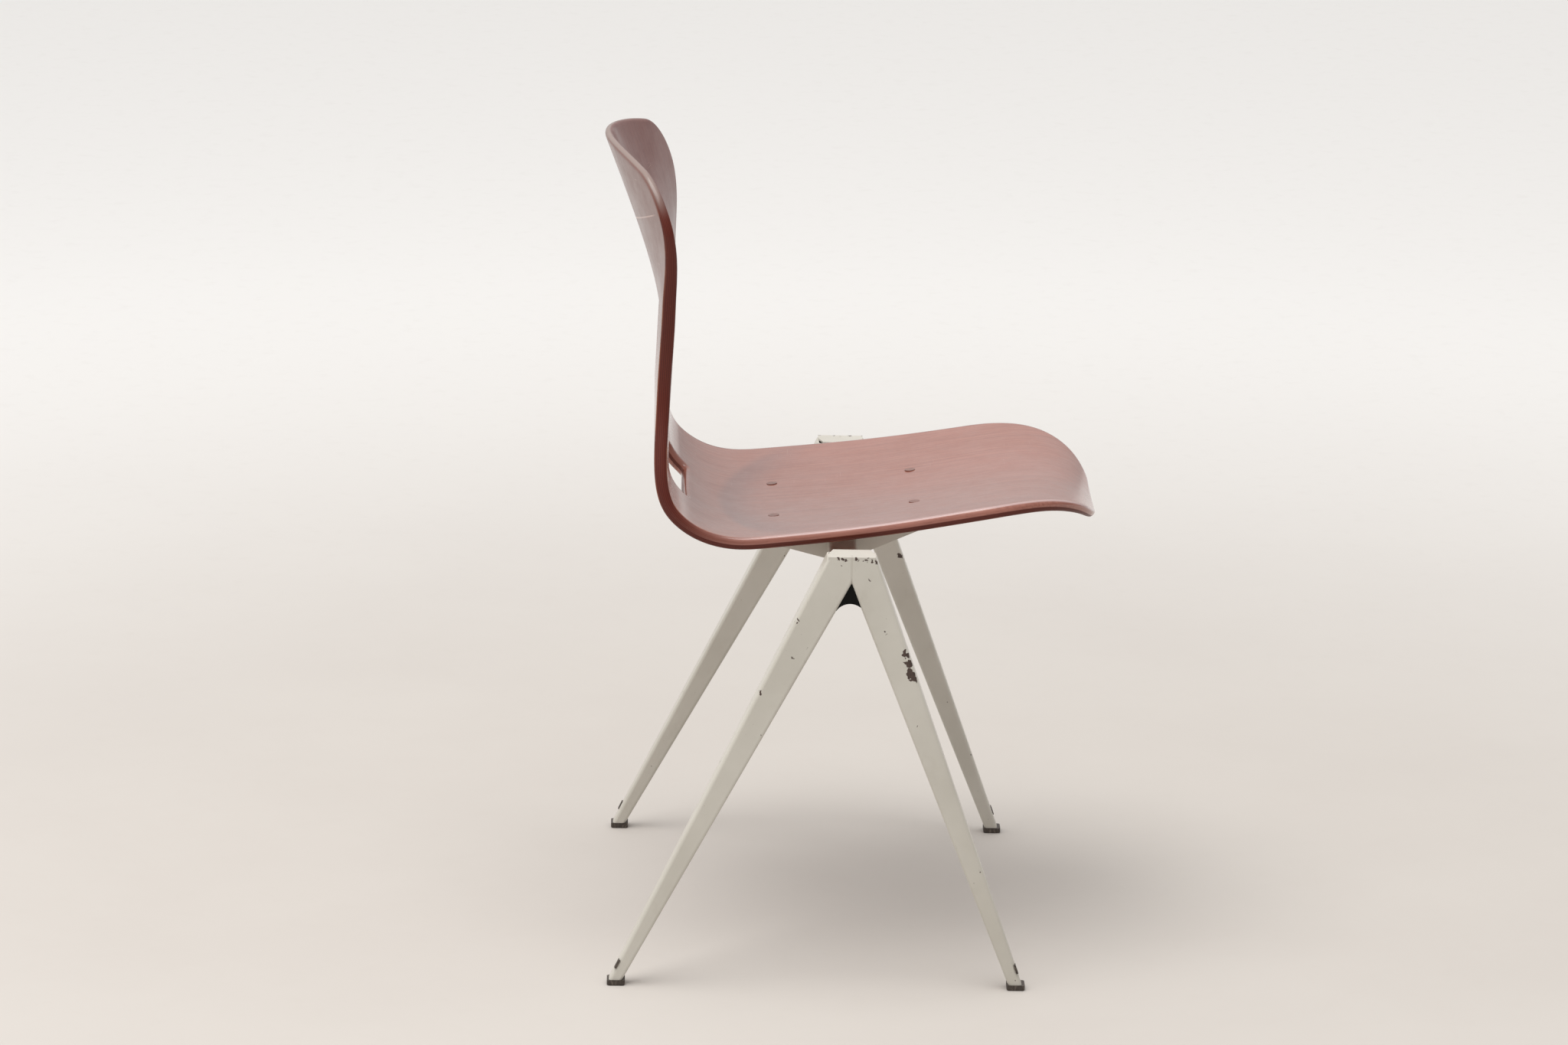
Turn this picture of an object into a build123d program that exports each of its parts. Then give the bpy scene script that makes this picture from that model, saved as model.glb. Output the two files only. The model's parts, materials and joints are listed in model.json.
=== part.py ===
from build123d import *
import math
import os

import numpy as np

# Stacking chair: a moulded plywood shell riveted to a frame of folded sheet steel.
# Millimetres. +Z is up, the sitter faces -Y, and the origin lies on the floor under the
# middle of the chair. "left" and "right" are the sitter's own: left is +X.

# ---- driving dimensions: frame ---------------------------------------------------------
HEAD_TOP = 419.5           # top of the leg heads, where the next chair of a stack rests
HEAD_HALF = 22.5           # half the head's width along Y
CROTCH = 393.0             # height at which the inner edges of the two legs meet
REAR_FOOT = (214.4, 227.0)     # inner and outer edge of a rear leg, carried down to Z 0
FRONT_FOOT = (-159.3, -172.2)  # the same for a front leg
FOOT_X = 270.0             # outer face of a leg at Z 0
HEAD_X = 246.4             # outer face of a leg at the head's top
DEPTH_FOOT = 16.0          # depth of a leg along X at Z 0
DEPTH_HEAD = 28.0          # depth of a leg along X at the head's top
LEG_WALL = 1.6
LEG_ROUND = 3.4            # radius of a leg's long edges
LEG_END = 2.2              # lower end of the steel, inside the foot cap
CAP_PLATE = 2.0            # plate that closes a head
CAP_DEPTH = 30.0
CAP_FULL_DEPTH = 12.0      # the cap plate keeps its full width this far in from outside
CAP_INNER_HALF = 17.5      # half width of the cap plate along its inner edge

FOOT_CAP_WIDTH = 17.3      # along Y
FOOT_CAP_DEPTH = 18.6      # along X
FOOT_CAP_HEIGHT = 5.2
FOOT_CAP_ROUND = 2.5
FOOT_CAP_BEVEL = 0.8
FOOT_CAP_LEAN = (3.0, 1.0)     # how far a rear and a front cap sit inside their leg's Z 0 axis
CLIP_LEVEL = 21.0          # middle of the foot cap's locking clip
CLIP_SIZE = (6.0, 1.9, 9.0)
CLIP_PROUD = 0.7           # how far a clip stands out of the leg

PAD_DEPTH = 20.0           # rubber stacking pad in the crotch
PAD_RECESS = 1.5
PAD_REAR, PAD_FRONT = 366.8, 370.6     # heights of the pad's two lower corners
PAD_ARCH = (1.5, 374.2)    # highest point of the arch between them

BEAM_Y = (-9.0, 19.0)      # cross beam, a square tube
BEAM_Z = (368.0, 396.0)
BEAM_WALL = 1.8
GUSSET = 3.0               # plate between a head and the beam
GUSSET_OUTLINE = ((-24.0, 412.0), (24.5, 412.0), (44.0, 368.0), (-38.0, 368.0))

# ---- driving dimensions: seat fixings ----------------------------------------------------
RIVET_X = 64.0
RIVET_REAR_Y = 70.0
RIVET_FRONT_Y = -66.0
BEARER_WIDTH = 34.0
BEARER_SHEET = 2.5
BEARER_REAR = 88.0
BEARER_FRONT = -86.0
BEARER_APEX = (6.0, 372.0)
WEB_TOP = (398.9, 414.0)   # top of the bearer's web at the rear and the front rivets
LIP = 1.5                  # depth of the side flanges at the bearer's two ends
SHANK = 6.0
HEAD_D = 10.5
HEAD_SUNK = 1.2
HEAD_PROUD = 0.5
SPACER_D = 15.0
WASHER_D = 13.0
WASHER_T = 1.2
TAIL_D = 9.5
TAIL_T = 2.4

# ---- driving dimensions: shell ------------------------------------------------------------
# Stations along the shell from the top of the back to the front of the seat:
# Y and Z of the middle of the plywood on the centre plane, how far its two side edges are
# brought forward (in the seat: up), the half width, and the thickness of the plywood.
SHELL = (
    (238.0, 779.8, 49.5, 172.5, 7.2),
    (214.4, 722.5, 35.5, 172.5, 9.5),
    (198.6, 682.5, 25.5, 171.5, 11.6),
    (186.0, 646.5, 10.8, 163.8, 13.0),
    (177.6, 612.0, 0.3, 153.0, 13.2),
    (177.4, 570.0, -2.2, 148.0, 13.0),
    (180.0, 520.0, -1.6, 157.0, 12.8),
    (182.4, 480.0, 0.5, 174.0, 12.4),
    (176.2, 446.5, 3.0, 181.0, 12.2),
    (159.8, 426.2, 5.2, 182.5, 12.0),
    (138.2, 412.4, 7.6, 182.5, 11.9),
    (110.0, 405.0, 9.6, 182.5, 11.9),
    (74.0, 405.6, 11.0, 182.0, 11.9),
    (8.0, 411.5, 12.4, 180.0, 11.9),
    (-57.0, 420.0, 12.9, 177.0, 11.9),
    (-123.0, 431.8, 12.2, 174.0, 12.0),
    (-165.0, 439.1, 11.3, 174.0, 11.6),
    (-198.0, 439.6, 10.4, 174.0, 11.0),
    (-223.5, 430.6, 9.0, 174.0, 9.8),
    (-240.0, 415.0, 8.0, 174.0, 8.0),
)
SECTION_BEND = 1.6         # 0 gives a parabola across the shell, more a tighter middle
SECTION_COUNT = 30
TOP_ARC = 570.0            # radius of the back's top edge
TOP_CORNER = 48.0
BACK_TRIM = 640.0          # the back's outline is trimmed above this height
SEAT_CORNER = 116.0        # radius of the seat's front corners, in plan
SEAT_TRIM = -118.0         # the seat's outline is trimmed in front of this Y
TRIM_CLEAR = 0.2           # the trimmed outline's straight sides lie this far off the shell's
SLOT_LENGTH = 122.0        # hand slot, across the shell
SLOT_HEIGHT = 33.0
SLOT_ROUND = 6.0
SLOT_START = (159.8, 426.2)    # station at the slot's lower edge

SIDES = (("left", 1), ("right", -1))
RIVETS = [(side * RIVET_X, y) for _, side in SIDES for y in (RIVET_REAR_Y, RIVET_FRONT_Y)]


# ---- curves of the shell ---------------------------------------------------------------
def natural_spline(knots, values, at):
    """Natural cubic spline through values at the knots, and its slope, at the place at."""
    n = len(knots)
    h = np.diff(knots)
    matrix = np.eye(n)
    right = np.zeros(n)
    for i in range(1, n - 1):
        matrix[i, i - 1:i + 2] = (h[i - 1], 2 * (h[i - 1] + h[i]), h[i])
        right[i] = 6 * ((values[i + 1] - values[i]) / h[i]
                        - (values[i] - values[i - 1]) / h[i - 1])
    bend = np.linalg.solve(matrix, right)
    i = int(np.clip(np.searchsorted(knots, at) - 1, 0, n - 2))
    a = (knots[i + 1] - at) / h[i]
    b = 1 - a
    value = (a * values[i] + b * values[i + 1]
             + ((a ** 3 - a) * bend[i] + (b ** 3 - b) * bend[i + 1]) * h[i] ** 2 / 6)
    slope = ((values[i + 1] - values[i]) / h[i]
             + ((3 * b * b - 1) * bend[i + 1] - (3 * a * a - 1) * bend[i]) * h[i] / 6)
    return value, slope


STATIONS = np.array(SHELL)
RUN = np.concatenate(([0.0], np.cumsum(np.hypot(np.diff(STATIONS[:, 0]),
                                                np.diff(STATIONS[:, 1])))))


def shell_at(run):
    """Centre point, direction of the run, edge lift, half width and thickness there."""
    columns = [natural_spline(RUN, STATIONS[:, k], run) for k in range(STATIONS.shape[1])]
    (y, dy), (z, dz) = columns[:2]
    along = Vector(0, dy, dz).normalized()
    lift, half, sheet = (column[0] for column in columns[2:])
    return Vector(0, y, z), along, lift, half, sheet


def section_plane(run):
    """Plane across the shell: x is the chair's X, y points to the sitter's side."""
    centre, along, *_ = shell_at(run)
    return Plane(origin=centre, x_dir=(1, 0, 0), z_dir=along)


def section_rise(x, half, lift):
    """How far the middle of the plywood is lifted at x, and the slope there."""
    scale = math.sqrt(1 + SECTION_BEND ** 2) - 1
    k = SECTION_BEND / half
    root = math.sqrt(1 + (k * x) ** 2)
    return lift * (root - 1) / scale, lift * k * k * x / (root * scale)


def section_wire(run):
    """Closed outline across the shell, with fully rounded side edges."""
    _, _, lift, half, sheet = shell_at(run)
    plane = section_plane(run)
    sign = 1 if plane.y_dir.dot(Vector(0, -1, 1)) > 0 else -1
    reach = half - sheet / 2

    def offset(x, amount):
        rise, slope = section_rise(x, half, lift)
        size = math.hypot(1, slope)
        return plane.from_local_coords((x - amount * slope / size,
                                        sign * (rise + amount / size), 0))

    def tip(x):
        rise, slope = section_rise(x, half, lift)
        size = math.hypot(1, slope) * math.copysign(1, x)
        return plane.from_local_coords((x + sheet / 2 / size,
                                        sign * (rise + sheet / 2 * slope / size), 0))

    across = [reach * i / 5 for i in range(-5, 6)]
    upper = Edge.make_spline([offset(x, sheet / 2) for x in across])
    lower = Edge.make_spline([offset(x, -sheet / 2) for x in reversed(across)])
    end = Edge.make_three_point_arc(upper @ 1, tip(reach), lower @ 0)
    start = Edge.make_three_point_arc(lower @ 1, tip(-reach), upper @ 0)
    return Wire([upper, end, lower, start])


# ---- shell -----------------------------------------------------------------------------
def back_outline():
    """Prism that rounds the top of the back, seen from the front."""
    half, top = SHELL[0][3] + TRIM_CLEAR, SHELL[0][1]
    drop = TOP_ARC - math.sqrt(TOP_ARC ** 2 - half ** 2)
    with BuildSketch(Plane.XZ) as outline:
        with BuildLine():
            sides = Polyline((half, top - drop), (half, 0), (-half, 0), (-half, top - drop))
            ThreePointArc(sides @ 1, (0, top), sides @ 0)
        make_face()
        fillet(outline.vertices().sort_by(Axis.Y)[-2:], TOP_CORNER)
        Rectangle(4 * half, 2 * BACK_TRIM)
    return extrude(outline.sketch, amount=top, both=True)


def seat_outline():
    """Prism that rounds the front corners of the seat, seen from above."""
    half, front = SHELL[-1][3] + TRIM_CLEAR, SHELL[-1][0]
    tall = 2 * SHELL[0][1]
    rounded = Pos(0, front / 2, 0) * Box(2 * half, -front, tall)
    rounded = fillet(rounded.edges().filter_by(Axis.Z).sort_by(Axis.Y)[:2], SEAT_CORNER)
    rear = Box(4 * half, 4 * half, tall, align=(Align.CENTER, Align.MIN, Align.CENTER))
    return rounded + Pos(0, SEAT_TRIM, 0) * rear


def hand_slot():
    """Cutter for the hand slot in the bend."""
    start = min(range(len(SHELL)), key=lambda i: math.dist(SHELL[i][:2], SLOT_START))
    middle = RUN[start] - SLOT_HEIGHT / 2
    centre, along, *_ = shell_at(middle)
    plane = Plane(origin=centre, x_dir=(1, 0, 0), z_dir=along.cross(Vector(1, 0, 0)))
    return extrude(plane * RectangleRounded(SLOT_LENGTH, SLOT_HEIGHT, SLOT_ROUND), 40, both=True)


def rivet_axis(x, y):
    """Plane at the top of the bearer's web on a rivet's axis, its z pointing up."""
    share = (RIVET_REAR_Y - y) / (RIVET_REAR_Y - RIVET_FRONT_Y)
    z = WEB_TOP[0] + share * (WEB_TOP[1] - WEB_TOP[0])
    slope = (WEB_TOP[1] - WEB_TOP[0]) / (RIVET_REAR_Y - RIVET_FRONT_Y)
    return Plane(origin=(x, y, z), x_dir=(1, 0, 0), z_dir=(0, slope, 1))


def seat_level(x, y):
    """Height of the plywood's upper face above the web, along a rivet's axis."""
    runs = np.linspace(RUN[11], RUN[-3], 400)
    run = min(runs, key=lambda r: abs(shell_at(r)[0].Y - y))
    centre, along, lift, half, sheet = shell_at(run)
    rise, _ = section_rise(x, half, lift)
    return centre.Z + rise + sheet / 2 - rivet_axis(x, y).origin.Z


def disc(plane, diameter, low, high):
    return extrude(plane.offset(low) * Circle(diameter / 2), high - low)


def seat_shell():
    wires = [section_wire(run) for run in np.linspace(0, RUN[-1], SECTION_COUNT)]
    shell = Solid.make_loft(wires)
    shell = shell & back_outline()
    shell = shell & seat_outline()
    shell -= hand_slot()
    for x, y in RIVETS:
        plane = rivet_axis(x, y)
        level = seat_level(x, y)
        shell -= disc(plane, SHANK, -5, 40)
        shell -= disc(plane, HEAD_D, level - HEAD_SUNK, level + 30)
    return shell.solid()


# ---- legs ------------------------------------------------------------------------------
def outer_x(z):
    return FOOT_X + (HEAD_X - FOOT_X) * z / HEAD_TOP


def inner_x(z):
    return outer_x(z) - DEPTH_FOOT - (DEPTH_HEAD - DEPTH_FOOT) * z / HEAD_TOP


def leg_edges(foot, z):
    """Y of a leg's inner and outer edge at height z."""
    inner, outer = foot
    toward = math.copysign(HEAD_HALF, outer)
    return inner * (1 - z / CROTCH), outer + (toward - outer) * z / HEAD_TOP


def leg_section(foot, side, z, wall):
    inner, outer = leg_edges(foot, z)
    out_x, in_x = outer_x(z), inner_x(z)
    size_x = out_x - in_x - 2 * wall
    size_y = abs(outer - inner) - 2 * wall
    place = Pos(side * (out_x + in_x) / 2, (inner + outer) / 2, z)
    return place * RectangleRounded(size_x, size_y, LEG_ROUND - wall)


def leg_block(foot, side, wall=0.0, low=LEG_END):
    """A leg as a solid block, cut at the plane where the two legs of a side meet."""
    high = HEAD_TOP - CAP_PLATE
    block = loft([leg_section(foot, side, z, wall) for z in (low, high)], ruled=True)
    keep = Box(800, 400, 1000, align=(Align.CENTER, Align.MIN, Align.CENTER))
    if foot[0] < 0:
        keep = keep.mirror(Plane.XZ)
    return block & keep


def clip_block(foot, side, proud):
    """Locking clip of a foot cap, let into the leg's outer edge and leaning with it."""
    size_x, size_y, size_z = CLIP_SIZE
    _, edge = leg_edges(foot, CLIP_LEVEL)
    _, foot_edge = leg_edges(foot, 0)
    lean = math.degrees(math.atan2(foot_edge - edge, CLIP_LEVEL))
    outward = math.copysign(1, edge)
    x = side * (outer_x(CLIP_LEVEL) + proud - size_x / 2)
    middle = Pos(x, edge, CLIP_LEVEL) * Rot(lean, 0, 0)
    return middle * Pos(0, outward * (proud - size_y / 2), 0) * Box(size_x, size_y, size_z)


def leg(foot, side):
    hollow = leg_block(foot, side) - leg_block(foot, side, LEG_WALL, LEG_END - 0.5)
    return (hollow - clip_block(foot, side, CLIP_PROUD)).solid()


def foot_clip(foot, side):
    block = clip_block(foot, side, CLIP_PROUD)
    inner_space = leg_block(foot, side, LEG_WALL)
    return (block - inner_space).solids().sort_by(SortBy.VOLUME)[-1]


def foot_cap(foot, side):
    inner, outer = foot
    lean = FOOT_CAP_LEAN[0] if inner > 0 else -FOOT_CAP_LEAN[1]
    x = side * (outer_x(0) + inner_x(0)) / 2
    y = (inner + outer) / 2 - lean
    block = Pos(x, y, 0) * Box(FOOT_CAP_DEPTH, FOOT_CAP_WIDTH, FOOT_CAP_HEIGHT,
                               align=(Align.CENTER, Align.CENTER, Align.MIN))
    block = fillet(block.edges().filter_by(Axis.Z), FOOT_CAP_ROUND)
    block = chamfer(block.faces().sort_by(Axis.Z)[0].edges(), FOOT_CAP_BEVEL)
    return (block - leg_block(foot, side)).solids().sort_by(SortBy.VOLUME)[-1]


# ---- heads and cross beam --------------------------------------------------------------
def head_cap(side):
    """Plate that closes a head, narrower along its inner edge."""
    out_x = outer_x(HEAD_TOP)
    full_x, in_x = out_x - CAP_FULL_DEPTH, out_x - CAP_DEPTH
    points = [(out_x, -HEAD_HALF), (out_x, HEAD_HALF), (full_x, HEAD_HALF),
              (in_x, CAP_INNER_HALF), (in_x, -CAP_INNER_HALF), (full_x, -HEAD_HALF)]
    outline = Plane.XY.offset(HEAD_TOP - CAP_PLATE) * make_face(
        Polyline(*[(side * x, y) for x, y in points], close=True))
    return extrude(outline, CAP_PLATE).solid()


def between_heads(gap):
    """Space between the inner faces of the two sides, less a gap at each end."""
    low, high = 300.0, HEAD_TOP
    corners = [(inner_x(low) - gap, low), (inner_x(high) - gap, high),
               (gap - inner_x(high), high), (gap - inner_x(low), low)]
    return extrude(Plane.XZ * make_face(Polyline(*corners, close=True)), 150, both=True)


def head_gusset(side):
    outline = Plane.YZ * make_face(Polyline(*GUSSET_OUTLINE, close=True))
    plate = extrude(outline, side * 300) & between_heads(0) - between_heads(GUSSET)
    return plate.solid()


def stacking_pad(side):
    """Rubber pad in the crotch, arched underneath to ride on the next chair."""
    low = [(leg_edges(foot, z)[0], z)
           for foot, z in ((FRONT_FOOT, PAD_FRONT), (REAR_FOOT, PAD_REAR))]
    with BuildSketch(Plane.YZ) as outline:
        with BuildLine():
            top = Polyline(low[0], (0, CROTCH), low[1])
            ThreePointArc(top @ 1, PAD_ARCH, top @ 0)
        make_face()
    face_x = outer_x(PAD_ARCH[1]) - PAD_RECESS
    return (Pos(side * face_x, 0, 0) * extrude(outline.sketch, -side * PAD_DEPTH)).solid()


def cross_beam():
    (y0, y1), (z0, z1) = BEAM_Y, BEAM_Z
    place = Plane.YZ * Pos((y0 + y1) / 2, (z0 + z1) / 2)
    outer = place * RectangleRounded(y1 - y0, z1 - z0, 4)
    inner = place * RectangleRounded(y1 - y0 - 2 * BEAM_WALL, z1 - z0 - 2 * BEAM_WALL,
                                     4 - BEAM_WALL)
    return (extrude(outer - inner, 300, both=True) & between_heads(GUSSET)).solid()


# ---- seat bearers and fixings ------------------------------------------------------------
def web_height(y):
    return rivet_axis(0, y).origin.Z


def bearer_profile(depth):
    """Side outline of a bearer: the web's line above, down to the flanges or the sheet."""
    top = [(BEARER_REAR, web_height(BEARER_REAR)), (BEARER_FRONT, web_height(BEARER_FRONT))]
    if depth:
        low = [(y, z - depth) for y, z in reversed(top)]
    else:
        lip = BEARER_SHEET + LIP
        low = [(BEARER_FRONT, top[1][1] - lip), BEARER_APEX, (BEARER_REAR, top[0][1] - lip)]
    return Plane.YZ * make_face(Polyline(*top, *low, close=True))


def seat_bearer(side):
    """Folded strap: a web under the seat and two side flanges standing over the beam."""
    middle = side * RIVET_X
    half = BEARER_WIDTH / 2
    bearer = Pos(middle, 0, 0) * extrude(bearer_profile(BEARER_SHEET), half, both=True)
    flange = Pos(middle, 0, 0) * extrude(bearer_profile(None), half, both=True)
    space = Pos(middle, 0, 0) * extrude(bearer_profile(None), half - BEARER_SHEET, both=True)
    bearer += flange - space
    (y0, y1), (z0, z1) = BEAM_Y, BEAM_Z
    bearer -= Pos(0, (y0 + y1) / 2, z1) * Box(900, y1 - y0, 2 * (z1 - z0),
                                              align=(Align.CENTER, Align.CENTER, Align.MAX))
    for x, y in RIVETS:
        bearer -= disc(rivet_axis(x, y), SHANK, -20, 20)
    return bearer.solid()


def rivet(x, y):
    plane = rivet_axis(x, y)
    level = seat_level(x, y)
    tail_top = -BEARER_SHEET - WASHER_T
    body = disc(plane, SHANK, tail_top - TAIL_T, level)
    body += disc(plane, HEAD_D, level - HEAD_SUNK, level + HEAD_PROUD)
    body += disc(plane, TAIL_D, tail_top - TAIL_T, tail_top)
    return body.solid()


def washer(x, y):
    plane = rivet_axis(x, y)
    top = -BEARER_SHEET
    return (disc(plane, WASHER_D, top - WASHER_T, top)
            - disc(plane, SHANK, top - 5, top + 5)).solid()


def spacer(x, y, shell):
    """Fibre washer between bearer and plywood, shaped to the plywood's underside."""
    plane = rivet_axis(x, y)
    ring = disc(plane, SPACER_D, 0, 12) - disc(plane, SHANK, -1, 13) - shell
    return ring.solids().sort_by(Axis.Z)[0]


# ---- all nodes ---------------------------------------------------------------------------
def group(solids):
    return Compound(children=list(solids))


def nodes():
    shell = seat_shell()
    legs = {"front": FRONT_FOOT, "rear": REAR_FOOT}
    made = {"seat_shell": shell, "cross_beam": cross_beam()}
    for name, side in SIDES:
        made[f"{name}_head_cap"] = head_cap(side)
        made[f"{name}_head_gusset"] = head_gusset(side)
        made[f"{name}_stacking_pad"] = stacking_pad(side)
        made[f"{name}_seat_bearer"] = seat_bearer(side)
        for end, foot in legs.items():
            made[f"{name}_{end}_leg"] = leg(foot, side)
            made[f"{name}_{end}_foot_cap"] = foot_cap(foot, side)
    made["foot_clips"] = group(foot_clip(foot, side)
                               for _, side in SIDES for foot in legs.values())
    made["seat_rivets"] = group(rivet(x, y) for x, y in RIVETS)
    made["rivet_washers"] = group(washer(x, y) for x, y in RIVETS)
    made["seat_spacers"] = group(spacer(x, y, shell) for x, y in RIVETS)
    return made


os.makedirs("parts", exist_ok=True)
for node, shape in nodes().items():
    export_step(shape, f"parts/{node}.step")
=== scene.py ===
import json
import math

import bpy
import numpy as np
from mathutils import Matrix, Vector


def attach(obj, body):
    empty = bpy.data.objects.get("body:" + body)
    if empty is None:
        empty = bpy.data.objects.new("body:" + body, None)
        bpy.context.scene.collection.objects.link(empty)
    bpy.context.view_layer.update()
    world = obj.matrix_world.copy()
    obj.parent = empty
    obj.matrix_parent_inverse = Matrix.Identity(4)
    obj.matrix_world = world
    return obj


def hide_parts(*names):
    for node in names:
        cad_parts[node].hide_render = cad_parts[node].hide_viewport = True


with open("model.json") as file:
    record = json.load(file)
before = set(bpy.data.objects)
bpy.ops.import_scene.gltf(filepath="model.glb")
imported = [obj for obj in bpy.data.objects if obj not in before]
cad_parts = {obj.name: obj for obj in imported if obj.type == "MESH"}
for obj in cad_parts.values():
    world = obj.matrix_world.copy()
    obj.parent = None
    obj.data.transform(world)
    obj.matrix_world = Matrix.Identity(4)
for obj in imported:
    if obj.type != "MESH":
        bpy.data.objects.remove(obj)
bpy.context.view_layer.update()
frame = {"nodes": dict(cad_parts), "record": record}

# Stacking chair, in metres. +Z up, the sitter faces -Y, the sitter's left is +X.

# ---- sizes shared with the CAD source ----------------------------------------------------
# Stations along the shell, from the top of the back to the front of the seat: Y and Z of the
# plywood's middle on the centre plane, edge lift, half width and thickness, in millimetres.
SHELL = np.array((
    (238.0, 779.8, 49.5, 172.5, 7.2),
    (214.4, 722.5, 35.5, 172.5, 9.5),
    (198.6, 682.5, 25.5, 171.5, 11.6),
    (186.0, 646.5, 10.8, 163.8, 13.0),
    (177.6, 612.0, 0.3, 153.0, 13.2),
    (177.4, 570.0, -2.2, 148.0, 13.0),
    (180.0, 520.0, -1.6, 157.0, 12.8),
    (182.4, 480.0, 0.5, 174.0, 12.4),
    (176.2, 446.5, 3.0, 181.0, 12.2),
    (159.8, 426.2, 5.2, 182.5, 12.0),
    (138.2, 412.4, 7.6, 182.5, 11.9),
    (110.0, 405.0, 9.6, 182.5, 11.9),
    (74.0, 405.6, 11.0, 182.0, 11.9),
    (8.0, 411.5, 12.4, 180.0, 11.9),
    (-57.0, 420.0, 12.9, 177.0, 11.9),
    (-123.0, 431.8, 12.2, 174.0, 12.0),
    (-165.0, 439.1, 11.3, 174.0, 11.6),
    (-198.0, 439.6, 10.4, 174.0, 11.0),
    (-223.5, 430.6, 9.0, 174.0, 9.8),
    (-240.0, 415.0, 8.0, 174.0, 8.0),
)) / 1000
SECTION_BEND = 1.6         # 0 gives a parabola across the shell, more a tighter middle
TOP_ARC, TOP_CORNER, SEAT_CORNER = 0.570, 0.048, 0.116
SLOT_LENGTH, SLOT_HEIGHT, SLOT_ROUND, SLOT_STATION = 0.122, 0.033, 0.006, 9

# ---- the shell's mesh --------------------------------------------------------------------
PITCH = 0.0025             # spacing of the points
RIM = 0.0050               # how far the plywood's rounded rim reaches in from its outline
SLOT_RIM = 0.0056          # the same round the hand slot
SLOT_CALM = 0.030          # the rows are level this far from the slot's middle
RIM_RINGS = 11             # rings of points round the rim
REACH_POWER, HEIGHT_POWER = 0.75, 0.85     # square the rim's round; 1 and 1 give a circle
RIM_NOTE = 0.999           # largest depth noted on the rim; the faces themselves have 1
SLOT_PLY_NOTE = 0.88       # depth noted on the slot's thin line of bare ply
SLOT_PLY_HALF = 0.1        # half the share of the slot's edge that this line takes
CURVE_STEP = 1e-4          # step along the run for slopes
NORMAL_STEP = 2e-4         # step on the surface for normals
OUTLINE_STEP = 1e-5        # step for the slope of the distance to the slot's outline
ROUGH_INSET = 0.01         # first guess of an end's place on the run
NEWTON_STEPS = 12
SETTLE_ROUNDS, SETTLE_PULLS = 40, 3
TANGENT_ROUNDS = 3

# ---- marks on the plywood, by x and by the run from the top of the back --------------------
BACK_RUNS = 0.34, 0.20         # from none to all of the back's painted shade in front and painted sheen behind
DISH_CENTRE = (0.0, 0.520, 0.0)     # centre of the dish's painted shade, in x times DISH_SQUEEZE, and the run
DISH_SQUEEZE = 0.60
SCRATCH_RUN, SCRATCH_SLANT = 0.0898, 0.149     # run at x = 0, and how it grows with x
SCRATCH_LEFT, SCRATCH_RIGHT = (-0.155, -0.135), (0.020, -0.010)     # it fades over these x

# ---- colours, linear red, green and blue ---------------------------------------------------
VENEER_DARK, VENEER_LIGHT = (0.235, 0.078, 0.052), (0.330, 0.124, 0.087)
VENEER_STREAK, VENEER_FIGURE = (0.385, 0.155, 0.112), (0.225, 0.072, 0.050)
VENEER_CLOUD, VENEER_PORE = (0.365, 0.150, 0.118), (0.120, 0.034, 0.025)
# painted light: the back's darker mauve front is painted shade, its greyer rear a painted sheen
BACK_FRONT_SHADE, BACK_REAR_SHEEN = (0.132, 0.066, 0.070), (0.150, 0.092, 0.082)
# the second of these is a painted highlight for the seat's upper rounding
TOP_RIM, SEAT_PAINTED_HIGHLIGHT = (0.235, 0.180, 0.160), (0.520, 0.400, 0.400)
# painted shade for the curved band in the dish behind the sitter
DISH_PAINTED_SHADE = (0.155, 0.066, 0.060)
PLY_DARK, PLY_LIGHT = (0.068, 0.0080, 0.0045), (0.108, 0.0170, 0.0080)
PLY_FIBRE, PLY_RUBBED = (0.128, 0.025, 0.012), (0.300, 0.092, 0.032)
PLY_GOLD = (0.520, 0.270, 0.110)
SCRATCHED = (0.520, 0.340, 0.290)
ENAMEL_DARK, ENAMEL_LIGHT = (0.530, 0.502, 0.440), (0.590, 0.562, 0.500)
ENAMEL_GRIME, ENAMEL_WELD = (0.395, 0.350, 0.285), (0.330, 0.290, 0.235)
STEEL_DARK, STEEL_LIGHT = (0.028, 0.016, 0.012), (0.085, 0.048, 0.034)
RUBBER_BLACK, RUBBER_DUST = (0.0035, 0.0035, 0.0030), (0.0120, 0.0110, 0.0095)
FOOT_DARK, FOOT_LIGHT = (0.022, 0.015, 0.012), (0.070, 0.052, 0.040)
FOOT_SCUFF = (0.200, 0.165, 0.130)
RIVET_DARK, RIVET_LIGHT = (0.150, 0.052, 0.037), (0.235, 0.094, 0.068)
RIVET_BARE = (0.330, 0.285, 0.245)
FIBRE_DARK, FIBRE_LIGHT = (0.060, 0.018, 0.012), (0.140, 0.050, 0.032)
FLOOR_DARK, FLOOR_LIGHT = (0.560, 0.523, 0.487), (0.580, 0.545, 0.508)
# the first is painted light: the far floor is painted paler so that it reads as brightly lit
FLOOR_PAINTED_LIGHT, FLOOR_DUST = (0.900, 0.890, 0.875), (0.480, 0.435, 0.385)

# ---- camera ------------------------------------------------------------------------------
CAMERA_AT = Vector((-6.7962, 0.1995, 2.1131))
YAW, TILT, ROLL = math.radians(-1.1747), math.radians(14.2225), math.radians(1.1303)
LENS, SENSOR = 164.46, 36.0    # millimetres
CLIP_END = 200.0

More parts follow.
